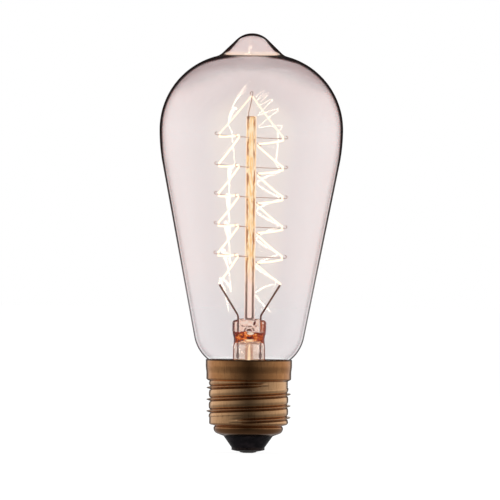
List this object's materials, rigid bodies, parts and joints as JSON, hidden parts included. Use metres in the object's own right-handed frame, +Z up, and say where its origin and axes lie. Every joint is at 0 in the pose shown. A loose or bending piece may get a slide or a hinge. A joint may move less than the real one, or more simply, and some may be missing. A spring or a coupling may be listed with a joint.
{
  "type": "filament bulb",
  "caption": "Clear tapered filament bulb with a drawn tip, a zigzag filament on a hooked glass rod, and a brass screw cap.",
  "frame": {"origin": "middle of the worn flat on the end contact's solder, on the lamp's axis", "axes": "+Z up the lamp's axis from the end contact to the glass tip; +X to the right and -Y to the front as the picture shows it; the leads lie in the XZ plane"},
  "size_m": [0.057, 0.057, 0.1303],
  "materials": {
    "bulb_glass": "clear blown glass, polished",
    "stem_glass": "clear pressed glass, polished",
    "rod_glass": "clear drawn glass, warm from the filament",
    "nickel_wire": "dull drawn nickel wire",
    "filament": "finely coiled wire, glowing",
    "seal_wire": "red copper-clad wire in glass",
    "copper_lead": "dull drawn copper wire",
    "cap_brass": "aged bronze-toned brass, satin",
    "contact_metal": "darkened brass, satin",
    "solder": "dull darkened solder",
    "black_insulator": "black glass, glossy",
    "cement": "matt capping cement"
  },
  "bodies": {
    "root": {"glass_envelope": "bulb_glass", "stem_flare": "stem_glass", "exhaust_tube": "stem_glass", "support_rod": "rod_glass", "top_hook": "nickel_wire", "support_wires_tier_1": "nickel_wire", "support_wires_tier_2": "nickel_wire", "support_wires_tier_3": "nickel_wire", "support_wires_tier_4": "nickel_wire", "support_wires_tier_5": "nickel_wire", "filament": "filament", "inner_lead_left": "nickel_wire", "inner_lead_right": "nickel_wire", "seal_wire_left": "seal_wire", "seal_wire_right": "seal_wire", "weld_knots": "nickel_wire", "side_lead": "copper_lead", "centre_lead": "copper_lead", "screw_shell": "cap_brass", "insulator": "black_insulator", "centre_contact": "contact_metal", "contact_solder": "solder", "side_solder": "solder", "capping_cement": "cement"}
  },
  "joints": []
}
